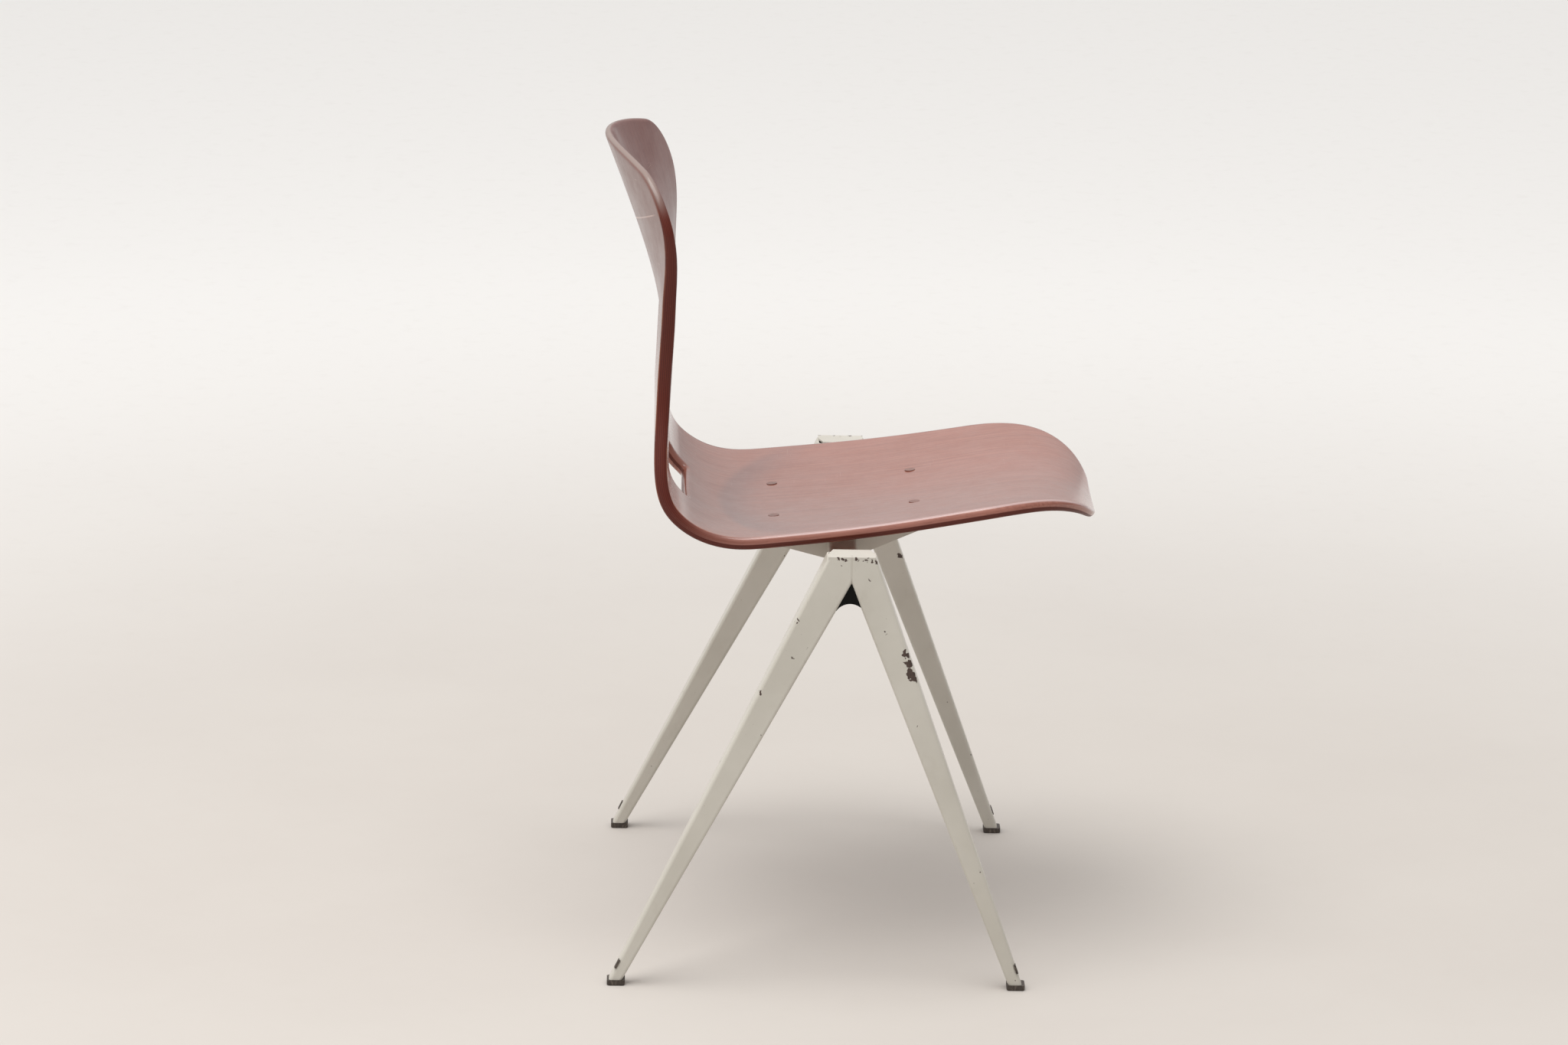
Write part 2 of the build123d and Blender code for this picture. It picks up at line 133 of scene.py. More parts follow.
# ---- light -------------------------------------------------------------------------------
BRIGHT_SIDE = (0.10, 0.30, 0.95)
WORLD_FACING = (-0.3, 1.0)     # cosine to the bright side at the two ends of WORLD_RANGE
WORLD_RANGE = (0.22, 1.15)     # strength away from the bright side and towards it
WORLD_COLOUR = (1.0, 0.985, 0.97, 1)
OVERHEAD = 62.0                # watts
OVERHEAD_AT, OVERHEAD_TARGET, OVERHEAD_SIZE = (-0.6, 0.6, 3.2), (0, 0, 0.3), 2.1
OVERHEAD_COLOUR = (1.0, 0.985, 0.965)
FLOOR_SIZE = 60.0

# ---- worn places on the enamel: x, y, z and radius -----------------------------------------
CHIPS = (
    (-0.2506, -0.0325, 0.3456, 0.0022), (-0.2516, -0.0532, 0.3267, 0.0036),
    (-0.2522, -0.0556, 0.3171, 0.0042), (-0.2527, -0.0580, 0.3082, 0.0044),
    (-0.2530, -0.0603, 0.3023, 0.0030), (-0.2499, 0.0504, 0.3569, 0.0020),
    (-0.2533, 0.0827, 0.2965, 0.0014), (-0.2538, 0.0854, 0.2875, 0.0020),
    (0.2286, -0.0631, 0.2992, 0.0030), (0.2440, -0.0600, 0.3300, 0.0026),
    (-0.2464, 0.0139, 0.4187, 0.0022), (-0.2465, 0.0074, 0.4178, 0.0018),
    (-0.2466, -0.0035, 0.4175, 0.0024), (-0.2467, -0.0130, 0.4172, 0.0022),
    (-0.2467, -0.0224, 0.4160, 0.0028), (0.2464, 0.0200, 0.4187, 0.0024),
    (0.2464, 0.0050, 0.4187, 0.0022), (0.2464, -0.0100, 0.4187, 0.0024),
    (0.2464, -0.0215, 0.4170, 0.0030),
)


# ---- curves of the shell -----------------------------------------------------------------
def natural_spline(knots, values, at):
    """Natural cubic spline through values at the knots, at the places at."""
    n, h = len(knots), np.diff(knots)
    matrix, right = np.eye(n), np.zeros(n)
    for i in range(1, n - 1):
        matrix[i, i - 1:i + 2] = (h[i - 1], 2 * (h[i - 1] + h[i]), h[i])
        right[i] = 6 * ((values[i + 1] - values[i]) / h[i]
                        - (values[i] - values[i - 1]) / h[i - 1])
    bend = np.linalg.solve(matrix, right)
    i = np.clip(np.searchsorted(knots, at) - 1, 0, n - 2)
    a = (knots[i + 1] - at) / h[i]
    b = 1 - a
    return (a * values[i] + b * values[i + 1]
            + ((a ** 3 - a) * bend[i] + (b ** 3 - b) * bend[i + 1]) * h[i] ** 2 / 6)


RUN = np.concatenate(([0.0], np.cumsum(np.hypot(np.diff(SHELL[:, 0]), np.diff(SHELL[:, 1])))))
SLOT_RUN = RUN[SLOT_STATION] - SLOT_HEIGHT / 2


def column(k, run):
    return natural_spline(RUN, SHELL[:, k], np.asarray(run, float))


def middle(x, run):
    """Points of the plywood's middle surface at x and run, which are arrays of one shape."""
    y, z, lift, half = (column(k, run) for k in range(4))
    dy = column(0, run + CURVE_STEP) - column(0, run - CURVE_STEP)
    dz = column(1, run + CURVE_STEP) - column(1, run - CURVE_STEP)
    size = np.hypot(dy, dz)
    scale = math.sqrt(1 + SECTION_BEND ** 2) - 1
    rise = lift * (np.sqrt(1 + (SECTION_BEND * x / half) ** 2) - 1) / scale
    return np.stack([x, y + rise * dz / size, z - rise * dy / size], -1)


def surface(x, run):
    """Middle points and unit normals, which point to the sitter's side."""
    point = middle(x, run)
    across = middle(x + NORMAL_STEP, run) - middle(x - NORMAL_STEP, run)
    along = middle(x, run + NORMAL_STEP) - middle(x, run - NORMAL_STEP)
    normal = np.cross(across, along)
    return point, -normal / np.linalg.norm(normal, axis=-1, keepdims=True)


def end_edge(share, corner, half):
    """x at share (-1 to 1) of an end edge, and how far its rounded corner falls back there.

    The shares are spread so that the corner's arc is even.
    """
    straight = half - corner
    reach = np.abs(share) * (straight + corner * math.pi / 2)
    angle = np.clip((reach - straight) / corner, 0, math.pi / 2)
    x = np.sign(share) * np.where(reach < straight, reach, straight + corner * np.sin(angle))
    return x, corner * (1 - np.cos(angle))


def run_where(x, wanted, k, rough):
    """The run at which the middle surface reaches coordinate k = wanted, for each x."""
    run = np.array(rough, float)
    for _ in range(NEWTON_STEPS):
        here = middle(x, run)[:, k]
        slope = (middle(x, run + CURVE_STEP)[:, k]
                 - middle(x, run - CURVE_STEP)[:, k]) / (2 * CURVE_STEP)
        run = run - (here - wanted) / slope
    return run


def shell_grid():
    """x and run of every grid point, inset by the rim: rows along the run, columns across."""
    rows, columns = int(RUN[-1] / PITCH), int(2 * SHELL[:, 3].max() / PITCH)
    share = np.linspace(-1, 1, columns + 1)
    ends = []
    for station, corner in ((0, TOP_CORNER), (-1, SEAT_CORNER)):
        half = SHELL[station, 3] - RIM
        ends.append((*end_edge(share, corner - RIM, half), half))
    (top_x, top_drop, top_half), (front_x, front_drop, front_half) = ends
    crown = TOP_ARC - np.sqrt(TOP_ARC ** 2 - top_x ** 2)
    top = SHELL[0, 1] - RIM - crown - top_drop
    front = SHELL[-1, 0] + RIM + front_drop
    start = run_where(top_x, top, 2, np.full(share.shape, ROUGH_INSET))
    end = run_where(front_x, front, 1, np.full(share.shape, RUN[-1] - ROUGH_INSET))
    # past the slot the rows lie level, so that its outline can follow them
    t = np.linspace(0, 1, rows + 1)[:, None]
    low, high = SLOT_RUN - SLOT_CALM, SLOT_RUN + SLOT_CALM
    t_low, t_high = low / RUN[-1], high / RUN[-1]
    run = np.where(t < t_low, start + (low - start) * t / t_low,
                   high + (end - high) * (t - t_high) / (1 - t_high))
    calm = low + (high - low) * (t - t_low) / (t_high - t_low)
    run = np.where((t >= t_low) & (t < t_high), calm, run)
    # the columns pass from the top's spread to the front's; each follows its own half width
    half = column(3, run) - RIM
    blend = t * t * (3 - 2 * t)
    spread = (1 - blend) * top_x / top_half + blend * front_x / front_half
    return half * spread, run


def slot_inside(x, run, grow):
    """Signed distance to the slot's outline grown by grow: below 0 inside."""
    corner = SLOT_ROUND + grow
    dx = np.abs(x) - (SLOT_LENGTH / 2 + grow - corner)
    dy = np.abs(run - SLOT_RUN) - (SLOT_HEIGHT / 2 + grow - corner)
    outside = np.hypot(np.maximum(dx, 0), np.maximum(dy, 0))
    return outside + np.minimum(np.maximum(dx, dy), 0) - corner


def outside_slot(x, run):
    """The grid's faces that stay when the slot is opened."""
    middle_x = (x[:-1, :-1] + x[1:, 1:]) / 2
    middle_run = (run[:-1, :-1] + run[1:, 1:]) / 2
    return slot_inside(middle_x, middle_run, SLOT_RIM) > 0


def settle_slot(x, run, loop):
    """Draw the loop's points onto the slot's outline, evenly spaced along it."""
    for _ in range(SETTLE_ROUNDS):
        here_x = (np.roll(x[loop], 1) + 2 * x[loop] + np.roll(x[loop], -1)) / 4
        here_run = (np.roll(run[loop], 1) + 2 * run[loop] + np.roll(run[loop], -1)) / 4
        for _ in range(SETTLE_PULLS):
            d = slot_inside(here_x, here_run, SLOT_RIM)
            gx = (slot_inside(here_x + OUTLINE_STEP, here_run, SLOT_RIM) - d) / OUTLINE_STEP
            gr = (slot_inside(here_x, here_run + OUTLINE_STEP, SLOT_RIM) - d) / OUTLINE_STEP
            norm = np.maximum(gx * gx + gr * gr, 1e-6)
            here_x, here_run = here_x - d * gx / norm, here_run - d * gr / norm
        x[loop], run[loop] = here_x, here_run


def boundary_loops(keep, shape):
    """Closed loops of grid points round the kept faces, each with the faces on its left."""
    following = {}
    rows, columns = keep.shape

    def kept(i, j):
        return 0 <= i < rows and 0 <= j < columns and keep[i, j]

    for i in range(rows):
        for j in range(columns):
            if not keep[i, j]:
                continue
            a, b, c, d = ((i, j), (i, j + 1), (i + 1, j + 1), (i + 1, j))
            for near, first, last in (((i - 1, j), a, b), ((i, j + 1), b, c),
                                      ((i + 1, j), c, d), ((i, j - 1), d, a)):
                if not kept(*near):
                    following[first] = last
    loops = []
    while following:
        first, here = next(iter(following.items()))
        del following[first]
        loop = [first]
        while here != first:
            loop.append(here)
            here = following.pop(here)
        loops.append([i * shape[1] + j for i, j in loop])
    return loops


def build_shell():
    """One closed mesh: two faces, with rings of points round the outline and the slot."""
    x, run = shell_grid()
    keep = outside_slot(x, run)
    loops = [np.array(loop) for loop in boundary_loops(keep, x.shape)]
    flat_x, flat_run = x.ravel(), run.ravel()
    slot_loop = min(loops, key=len)
    settle_slot(flat_x, flat_run, slot_loop)
    point, normal = surface(flat_x, flat_run)
    sheet = column(4, flat_run)[:, None]
    count = len(flat_x)
    columns = x.shape[1]
    verts = [point + normal * sheet / 2, point - normal * sheet / 2]
    notes = [np.stack([flat_x, flat_run, np.full(count, 1.0)], -1),
             np.stack([flat_x, flat_run, np.full(count, -1.0)], -1)]
    faces = []
    for i, j in zip(*np.nonzero(keep)):
        a = i * columns + j
        quad = (a, a + 1, a + columns + 1, a + columns)
        faces.append(quad[::-1])
        faces.append(tuple(v + count for v in quad))
    total = 2 * count
    levels = np.linspace(math.pi / 2, -math.pi / 2, RIM_RINGS + 2)[1:-1]
    for loop in loops:
        here, up, thick = point[loop], normal[loop], sheet[loop]
        tangent = np.roll(here, -1, 0) - np.roll(here, 1, 0)
        for _ in range(TANGENT_ROUNDS):    # even out the direction where it turns
            tangent = (np.roll(tangent, 1, 0) + 2 * tangent + np.roll(tangent, -1, 0)) / 4
        out = np.cross(up, tangent)
        out -= up * (out * up).sum(-1, keepdims=True)
        out /= np.linalg.norm(out, axis=-1, keepdims=True)
        around_slot = loop is slot_loop
        rings = [loop]
        for level in levels:   # a squarish round: flatter than a circle in the middle
            c, s = math.cos(level), math.sin(level)
            reach = (SLOT_RIM if around_slot else RIM) * c ** REACH_POWER
            height = math.copysign(abs(s) ** HEIGHT_POWER, s)
            verts.append(here + out * reach + up * height * thick / 2)
            # the slot's edges are lacquered like the faces, down to a thin line of bare ply
            if around_slot:
                bare = abs(height) < SLOT_PLY_HALF
                note = SLOT_PLY_NOTE if bare else math.copysign(RIM_NOTE, height)
            else:
                note = height * RIM_NOTE
            notes.append(np.stack([flat_x[loop], flat_run[loop], np.full(len(loop), note)], -1))
            rings.append(np.arange(total, total + len(loop)))
            total += len(loop)
        rings.append(loop + count)
        for upper, lower in zip(rings, rings[1:]):
            for i in range(len(loop)):
                j = (i + 1) % len(loop)
                faces.append((int(upper[i]), int(upper[j]), int(lower[j]), int(lower[i])))
    verts = np.concatenate(verts)
    notes = np.concatenate(notes)
    used = np.zeros(len(verts), bool)
    for f in faces:
        used[list(f)] = True
    place = np.cumsum(used) - 1
    mesh = bpy.data.meshes.new("shell")
    mesh.from_pydata(verts[used].tolist(), [], [[int(place[v]) for v in f] for f in faces])
    layer = mesh.attributes.new("sheet", "FLOAT_VECTOR", "POINT")
    layer.data.foreach_set("vector", notes[used].astype(np.float32).ravel())
    mesh.shade_smooth()
    mesh.update()
    shell = bpy.data.objects.new("plywood_shell", mesh)
    bpy.context.collection.objects.link(shell)
    return shell


# ---- materials ---------------------------------------------------------------------------
class Paint:
    """A node material, built with short calls."""

    def __init__(self, name):
        self.material = bpy.data.materials.new(name)
        self.material.use_nodes = True
        self.tree = self.material.node_tree
        self.shader = self.tree.nodes["Principled BSDF"]

    def put(self, socket, value):
        if isinstance(value, bpy.types.NodeSocket):
            self.tree.links.new(value, socket)
        elif isinstance(value, tuple) and len(value) == 3 and socket.type == "RGBA":
            socket.default_value = (*value, 1)
        else:
            socket.default_value = value

    def node(self, kind, out=0, props=(), **inputs):
        n = self.tree.nodes.new("ShaderNode" + kind)
        for key, value in dict(props).items():
            setattr(n, key, value)
        for key, value in inputs.items():
            key = int(key[1:]) if key[0] == "_" else key.replace("_", " ")
            self.put(n.inputs[key], value)
        return n.outputs[out]

    def math(self, operation, a, b=0.0, c=0.0):
        return self.node("Math", props={"operation": operation}, _0=a, _1=b, _2=c)

    def times(self, *factors):
        product = factors[0]
        for factor in factors[1:]:
            product = self.math("MULTIPLY", product, factor)
        return product

    def size(self, value):
        return self.math("ABSOLUTE", value)

    def stretch(self, vector, by):
        return self.vmath("MULTIPLY", vector, by)

    def vmath(self, operation, a, b=(0, 0, 0)):
        out = 1 if operation in ("LENGTH", "DISTANCE", "DOT_PRODUCT") else 0
        return self.node("VectorMath", out, {"operation": operation}, _0=a, _1=b)

    def noise(self, vector, scale, detail=3.0, rough=0.5):
        return self.node("TexNoise", 0, Vector=vector, Scale=scale, Detail=detail,
                         Roughness=rough)

    def band(self, value, low, high, low_out=0.0, high_out=1.0):
        """Smooth step of value from low to high."""
        return self.node("MapRange", 0, {"interpolation_type": "SMOOTHSTEP"},
                         Value=value, From_Min=low, From_Max=high,
                         To_Min=low_out, To_Max=high_out)

    def mix(self, factor, a, b):
        n = self.tree.nodes.new("ShaderNodeMix")
        n.data_type = "RGBA"
        self.put(n.inputs[0], factor)
        self.put(n.inputs[6], a)
        self.put(n.inputs[7], b)
        return n.outputs[2]

    def axes(self, vector):
        n = self.tree.nodes.new("ShaderNodeSeparateXYZ")
        self.tree.links.new(vector, n.inputs[0])
        return n.outputs[0], n.outputs[1], n.outputs[2]

    def place(self):
        return self.node("TexCoord", 3)

    def bump(self, height, distance, strength):
        return self.node("Bump", 0, Height=height, Distance=distance, Strength=strength)

    def set(self, **inputs):
        for key, value in inputs.items():
            self.put(self.shader.inputs[key.replace("_", " ")], value)
        return self.material


def spots(p, place, marks, wobble, amount):
    """Mask of ragged round marks: 1 inside. marks holds (x, y, z, radius)."""
    shaken = p.vmath("ADD", place, p.stretch(
        p.vmath("SUBTRACT", wobble, (0.5, 0.5, 0.5)), (amount,) * 3))
    nearest = None
    for x, y, z, radius in marks:
        gap = p.math("SUBTRACT", p.vmath("DISTANCE", shaken, (x, y, z)), radius)
        nearest = gap if nearest is None else p.math("MINIMUM", nearest, gap)
    return p.band(nearest, 0.0003, -0.0003)


def veneer_colour(p, sheet, grain, fine):
    """Veneer of the two faces: fine grain, streaks, figure, clouds and pores."""
    broad = p.noise(grain, 210.0, 4.0, 0.6)
    figure = p.noise(grain, 46.0, 3.0, 0.55)
    cloud = p.noise(p.stretch(sheet, (1.0, 0.7, 0.02)), 6.0, 2.0, 0.5)
    pores = p.band(p.noise(p.stretch(sheet, (1.0, 0.06, 0.004)), 1700.0, 1.0, 0.4), 0.60, 0.72)
    veneer = p.mix(p.band(fine, 0.30, 0.70), VENEER_DARK, VENEER_LIGHT)
    veneer = p.mix(p.times(p.band(broad, 0.35, 0.70), 0.30), veneer, VENEER_STREAK)
    veneer = p.mix(p.times(p.band(figure, 0.52, 0.70), 0.40), veneer, VENEER_FIGURE)
    veneer = p.mix(p.times(p.band(cloud, 0.35, 0.7), 0.30), veneer, VENEER_CLOUD)
    return p.mix(p.times(pores, 0.30), veneer, VENEER_PORE)


def face_marks(p, sheet, veneer, in_back):
    """Large marks on the faces: the back's painted shade and painted sheen, the paler edges,
    among them the seat's painted highlight, and the dish's painted shade.
    """
    _, run, depth = p.axes(sheet)
    # painted light: the back is painted a darker mauve in front, a painted shade, and greyer
    # behind, a painted sheen
    veneer = p.mix(p.times(in_back, p.band(depth, 0.1, 0.5), 0.64), veneer, BACK_FRONT_SHADE)
    veneer = p.mix(p.times(in_back, p.band(depth, 0.1, -0.3), 0.68), veneer, BACK_REAR_SHEEN)
    top = p.times(p.band(run, 0.100, 0.060), p.band(p.size(depth), 0.80, 0.50))
    veneer = p.mix(p.times(top, 0.90), veneer, TOP_RIM)
    # painted highlight: a pale line along the seat's upper rounding stands in for the gleam of
    # the overhead light
    pale = p.times(p.band(run, 0.40, 0.50), p.times(p.band(depth, 0.999, 0.975),
                                                    p.band(depth, 0.66, 0.86)))
    veneer = p.mix(p.times(pale, 0.60), veneer, SEAT_PAINTED_HIGHLIGHT)
    # painted shade: a darker curved band in the dish behind the sitter, where its hollow turns
    hollow = p.vmath("DISTANCE", p.stretch(sheet, (DISH_SQUEEZE, 1.0, 0.0)), DISH_CENTRE)
    dish_shade = p.times(p.band(hollow, 0.116, 0.104), p.band(hollow, 0.060, 0.104))
    dish_shade = p.times(dish_shade, p.times(p.band(run, 0.52, 0.43), p.band(depth, 0.2, 0.9)))
    return p.mix(p.times(dish_shade, 0.55), veneer, DISH_PAINTED_SHADE)


def rim_colour(p, sheet):
    """Stained edge of the plies, rubbed to orange and in places to gold at its roundings."""
    x, _, depth = p.axes(sheet)
    ply = p.math("FRACT", p.math("ADD", p.times(depth, 3.5),
                                 p.times(p.noise(sheet, 60.0, 2.0), 0.5)))
    ply = p.times(p.band(ply, 0.30, 0.50), p.band(ply, 1.0, 0.80))
    fibres = p.noise(p.stretch(sheet, (0.5, 0.5, 30.0)), 260.0, 3.0, 0.6)
    rim = p.mix(ply, PLY_DARK, PLY_LIGHT)
    rim = p.mix(p.times(p.band(fibres, 0.45, 0.7), 0.35), rim, PLY_FIBRE)
    along = p.stretch(sheet, (1.0, 1.0, 0.1))
    rubbed = p.times(p.band(p.size(depth), 0.80, 0.93),
                     p.band(p.noise(along, 17.0, 5.0, 0.7), 0.42, 0.62),
                     p.band(p.size(x), 0.075, 0.100))
    rim = p.mix(p.times(rubbed, 0.75), rim, PLY_RUBBED)
    gold = p.times(rubbed, p.band(p.noise(along, 41.0, 4.0, 0.7), 0.60, 0.68))
    return p.mix(p.times(gold, 0.8), rim, PLY_GOLD)


def scratches(p, sheet):
    """Hairlines in the lacquer across the grain, and one long scratch behind the back."""
    x, run, depth = p.axes(sheet)
    lines = p.noise(p.stretch(sheet, (0.05, 1.0, 0.02)), 700.0, 2.0, 0.6)
    hairs = p.times(p.band(lines, 0.66, 0.72), p.band(p.noise(sheet, 22.0, 3.0, 0.6), 0.52, 0.68))
    off_line = p.math("SUBTRACT", run, p.math("MULTIPLY_ADD", x, SCRATCH_SLANT, SCRATCH_RUN))
    ends = p.times(p.band(x, *SCRATCH_LEFT), p.band(x, *SCRATCH_RIGHT))
    scratch = p.times(p.band(p.size(off_line), 0.0010, 0.0004),
                      p.times(p.band(depth, -0.6, -0.9), ends))
    return p.math("MAXIMUM", p.times(hairs, 0.45), p.times(scratch, 0.8))


def plywood():
    """Red-brown lacquered beech: grain along the run, plies along the rim.

    The mesh's attribute "sheet" holds x, the run from the top of the back, and the depth:
    1 on the sitter's face, -1 behind, and between them round the rim.
    """
    p = Paint("lacquered_plywood")
    sheet = p.node("Attribute", 1, {"attribute_name": "sheet"})
    x, run, depth = p.axes(sheet)
    sway = p.noise(p.stretch(sheet, (1.0, 0.5, 0.0)), 5.0, 2.0, 0.5)
    grain = p.node("CombineXYZ", 0, _0=p.math("ADD", x, p.times(sway, 0.008)),
                   _1=p.times(run, 0.016), _2=p.times(depth, 0.004))
    fine = p.noise(grain, 900.0, 3.0, 0.55)
    in_back = p.band(run, *BACK_RUNS)
    veneer = face_marks(p, sheet, veneer_colour(p, sheet, grain, fine), in_back)
    # in the seat the lacquer wraps over the upper rounding; at the top of the back it wraps
    # round the whole rim
    upper = p.math("MAXIMUM", p.times(p.band(run, 0.46, 0.34), p.band(depth, 0.995, 0.93)),
                   p.band(depth, -0.02, -0.24))
    on_rim = p.times(p.band(depth, -0.995, -0.93), upper, p.band(run, 0.040, 0.075))
    surface_colour = p.mix(on_rim, veneer, rim_colour(p, sheet))
    scuffs = p.noise(p.place(), 34.0, 6.0, 0.65)
    return p.set(Base_Color=p.mix(scratches(p, sheet), surface_colour, SCRATCHED),
                 Roughness=p.band(scuffs, 0.3, 0.75, 0.34, 0.50),
                 Normal=p.bump(fine, 0.00010, 0.5),
                 Coat_Weight=p.times(p.band(on_rim, 0.0, 1.0, 0.95, 0.12),
                                     p.band(in_back, 0.0, 1.0, 1.0, 0.45)),
                 Coat_Roughness=0.13, IOR=1.33)


def enamel():
    """Warm grey stove enamel, chipped to dark steel at CHIPS, in specks and along edges."""
    p = Paint("warm_grey_enamel")
    place = p.place()
    mottle = p.noise(place, 9.0, 4.0, 0.6)
    fine = p.noise(place, 420.0, 2.0, 0.5)
    tint = p.mix(p.band(mottle, 0.3, 0.7), ENAMEL_DARK, ENAMEL_LIGHT)
    grime = p.band(p.noise(place, 26.0, 6.0, 0.65), 0.56, 0.78)
    tint = p.mix(p.times(grime, 0.25), tint, ENAMEL_GRIME)
    specks = p.band(p.noise(place, 160.0, 2.0, 0.6), 0.735, 0.765)
    soft = p.node("Bevel", 0, {"samples": 4}, Radius=0.0016)
    true = p.node("NewGeometry", 3)
    edge = p.band(p.vmath("DOT_PRODUCT", soft, true), 0.985, 0.93)
    worn = p.times(edge, p.band(p.noise(place, 62.0, 5.0, 0.7), 0.60, 0.66))
    wobble = p.node("TexNoise", 1, Vector=place, Scale=230.0, Detail=3.0)
    chips = p.math("MAXIMUM", p.math("MAXIMUM", p.times(specks, 0.8), worn),
                   spots(p, place, CHIPS, wobble, 0.012))
    bare = p.mix(fine, STEEL_DARK, STEEL_LIGHT)
    # the weld where the two legs of a side meet
    x, y, _ = p.axes(place)
    weld = p.times(p.band(p.size(y), 0.0015, 0.0003), p.band(p.size(x), 0.236, 0.240))
    tint = p.mix(p.times(weld, 0.25), tint, ENAMEL_WELD)
    relief = p.math("SUBTRACT", p.times(fine, 0.12), p.math("MAXIMUM", chips, weld))
    return p.set(Base_Color=p.mix(chips, tint, bare),
                 Roughness=p.band(chips, 0.0, 1.0, 0.36, 0.62),
                 Normal=p.bump(relief, 0.00025, 0.6),
                 Coat_Weight=0.15, Coat_Roughness=0.25)


def rubber():
    p = Paint("black_rubber")
    place = p.place()
    grain = p.noise(place, 900.0, 2.0, 0.5)
    dust = p.band(p.noise(place, 70.0, 5.0, 0.65), 0.45, 0.8)
    return p.set(Base_Color=p.mix(p.times(dust, 0.5), RUBBER_BLACK, RUBBER_DUST),
                 Roughness=p.band(dust, 0.0, 1.0, 0.55, 0.85), IOR=1.2,
                 Normal=p.bump(grain, 0.0001, 0.5))


def foot_plastic():
    p = Paint("worn_foot_cap")
    place = p.place()
    scuff = p.band(p.noise(p.stretch(place, (1.0, 1.0, 0.3)), 420.0, 5.0, 0.7), 0.50, 0.66)
    base = p.mix(p.noise(place, 130.0, 4.0, 0.6), FOOT_DARK, FOOT_LIGHT)
    return p.set(Base_Color=p.mix(p.times(scuff, 0.6), base, FOOT_SCUFF),
                 Roughness=p.band(scuff, 0.0, 1.0, 0.50, 0.80),
                 Normal=p.bump(scuff, 0.0002, 0.6))


def rivet_steel():
    """Steel rivets, lacquered over with the seat and rubbed bare in spots."""
    p = Paint("lacquered_rivet")
    place = p.place()
    stain = p.noise(place, 260.0, 4.0, 0.6)
    bare = p.band(p.noise(place, 420.0, 4.0, 0.65), 0.60, 0.68)
    lacquer = p.mix(p.band(stain, 0.35, 0.7), RIVET_DARK, RIVET_LIGHT)
    return p.set(Base_Color=p.mix(bare, lacquer, RIVET_BARE),
                 Metallic=p.times(bare, 0.8), Roughness=p.band(stain, 0.0, 1.0, 0.34, 0.55),
                 Normal=p.bump(p.noise(place, 700.0, 2.0), 0.00008, 0.5),
                 Coat_Weight=0.5, Coat_Roughness=0.25)


def fibre():
    p = Paint("vulcanised_fibre")
    flecks = p.noise(p.stretch(p.place(), (1.0, 1.0, 6.0)), 300.0, 4.0, 0.6)
    return p.set(Base_Color=p.mix(flecks, FIBRE_DARK, FIBRE_LIGHT),
                 Roughness=p.band(flecks, 0.3, 0.7, 0.55, 0.75),
                 Normal=p.bump(flecks, 0.0001, 0.5))


def floor_paint():
    """Plain pale floor, a little darker near the chair and paler far off: this gradient is
    painted light.
    """
    p = Paint("pale_floor")
    place = p.place()
    broad = p.noise(place, 1.6, 4.0, 0.6)
    fine = p.noise(place, 38.0, 4.0, 0.6)
    tone = p.mix(p.band(broad, 0.3, 0.7), FLOOR_DARK, FLOOR_LIGHT)
    # painted light: the floor grows paler away from the chair
    tone = p.mix(p.band(p.vmath("LENGTH", place), 0.6, 3.0), tone, FLOOR_PAINTED_LIGHT)
    return p.set(Base_Color=p.mix(p.times(p.band(fine, 0.5, 0.8), 0.06), tone, FLOOR_DUST),
                 Roughness=0.7, Normal=p.bump(fine, 0.0001, 0.2))


def dress(names, material):
    for name in names:
        data = frame["nodes"][name].data
        data.materials.clear()
        data.materials.append(material)


# ---- pieces ------------------------------------------------------------------------------
shell = build_shell()
shell.data.materials.append(plywood())
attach(shell, "root")
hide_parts("seat_shell")

ENAMELLED = [s["node"] for s in frame["record"]["subparts"] if s["material_slot"] == "enamel"]
dress(ENAMELLED, enamel())
dress(["left_stacking_pad", "right_stacking_pad"], rubber())
dress([n for n in frame["nodes"] if "foot" in n], foot_plastic())
dress(["seat_rivets", "rivet_washers"], rivet_steel())
dress(["seat_spacers"], fibre())


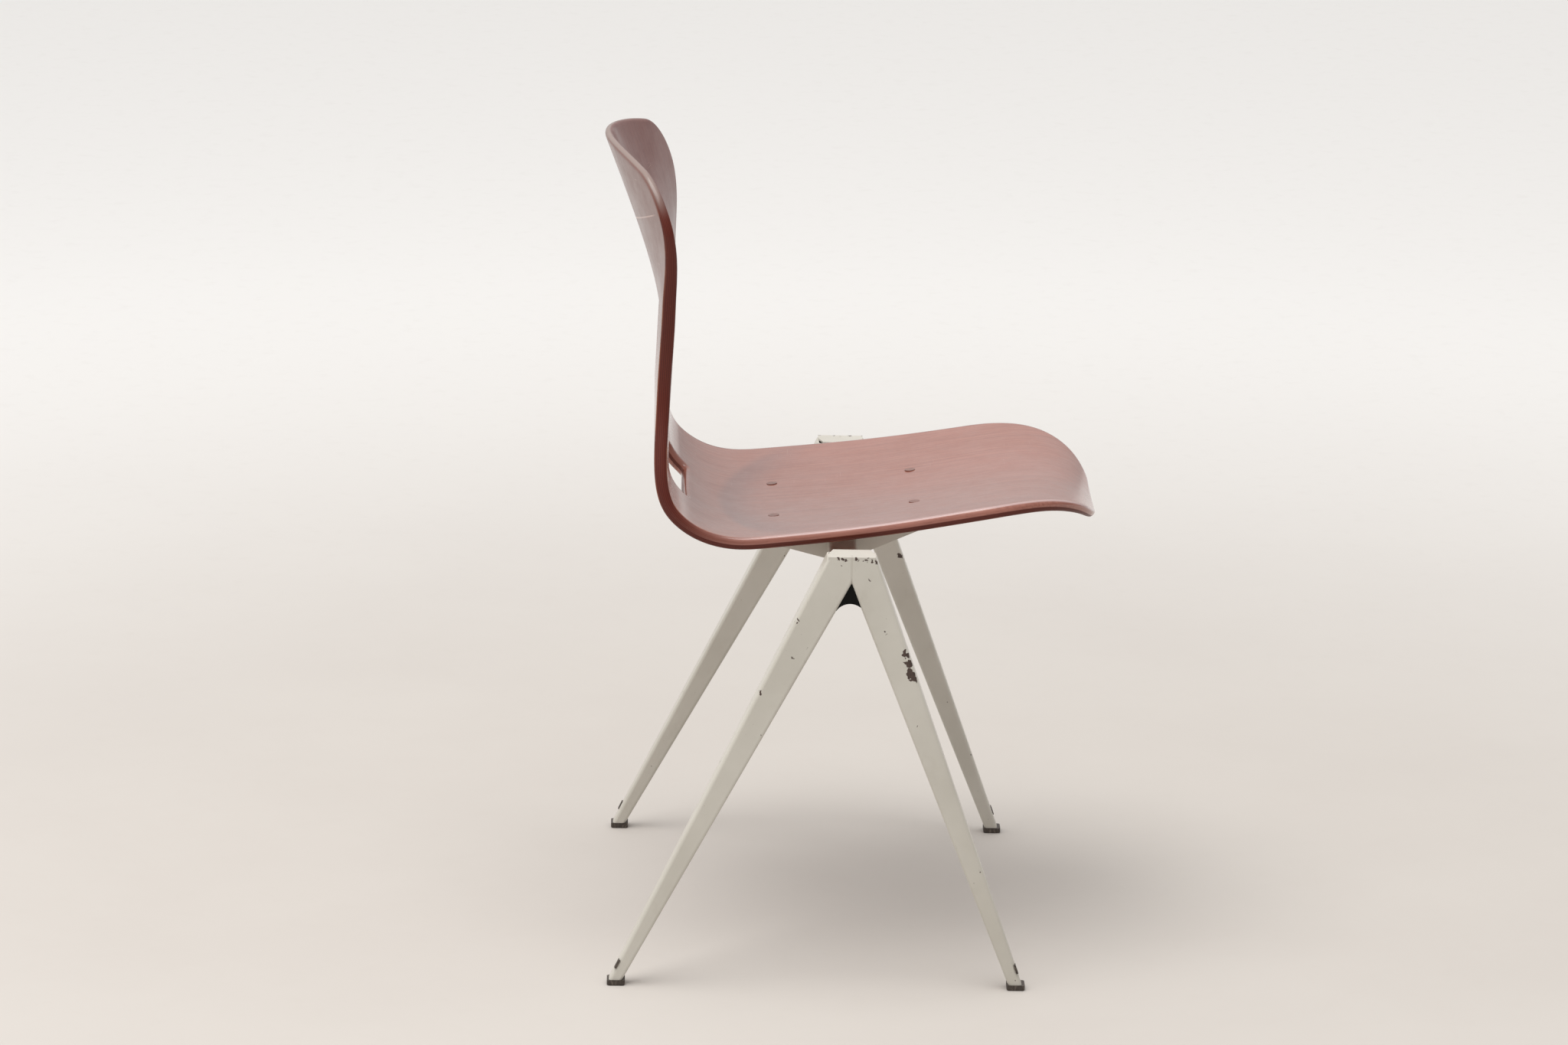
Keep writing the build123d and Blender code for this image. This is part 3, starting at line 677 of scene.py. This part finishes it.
# ---- floor, light and camera ---------------------------------------------------------------
def overhead_light():
    light = bpy.data.lights.new("overhead", "AREA")
    light.size, light.energy, light.color = OVERHEAD_SIZE, OVERHEAD, OVERHEAD_COLOUR
    lamp = bpy.data.objects.new("overhead", light)
    bpy.context.collection.objects.link(lamp)
    lamp.location = OVERHEAD_AT
    away = Vector(OVERHEAD_TARGET) - Vector(OVERHEAD_AT)
    lamp.rotation_euler = away.to_track_quat("-Z", "Y").to_euler()


def studio_world():
    """Soft surroundings, brighter overhead and behind the chair than in front of it."""
    world = bpy.data.worlds.new("studio")
    world.use_nodes = True
    tree = world.node_tree
    background = tree.nodes["Background"]
    background.inputs[0].default_value = WORLD_COLOUR
    ways = tree.nodes.new("ShaderNodeTexCoord")
    toward = tree.nodes.new("ShaderNodeVectorMath")
    toward.operation = "DOT_PRODUCT"
    toward.inputs[1].default_value = BRIGHT_SIDE
    level = tree.nodes.new("ShaderNodeMapRange")
    for socket, value in zip(list(level.inputs)[1:5], (*WORLD_FACING, *WORLD_RANGE)):
        socket.default_value = value
    tree.links.new(ways.outputs[0], toward.inputs[0])
    tree.links.new(toward.outputs[1], level.inputs[0])
    tree.links.new(level.outputs[0], background.inputs[1])
    return world


bpy.ops.mesh.primitive_plane_add(size=FLOOR_SIZE, location=(0, 0, 0))
floor = bpy.context.object
floor.name = "floor"
floor.data.materials.append(floor_paint())

bpy.context.scene.world = studio_world()
overhead_light()
bpy.context.scene.view_settings.view_transform = "Standard"

camera = bpy.data.objects.new("camera", bpy.data.cameras.new("camera"))
bpy.context.collection.objects.link(camera)
camera.data.lens, camera.data.sensor_width = LENS, SENSOR
camera.data.clip_end = CLIP_END
forward = Vector((math.cos(YAW), math.sin(YAW), 0))
side = Vector((math.sin(YAW), -math.cos(YAW), 0))
up = Vector((0, 0, 1))
look = math.cos(TILT) * forward - math.sin(TILT) * up
lift = math.sin(TILT) * forward + math.cos(TILT) * up
image_right = math.cos(ROLL) * side + math.sin(ROLL) * lift
image_up = -math.sin(ROLL) * side + math.cos(ROLL) * lift
turn = Matrix((image_right, image_up, -look)).transposed()
camera.matrix_world = Matrix.Translation(CAMERA_AT) @ turn.to_4x4()
bpy.context.scene.camera = camera
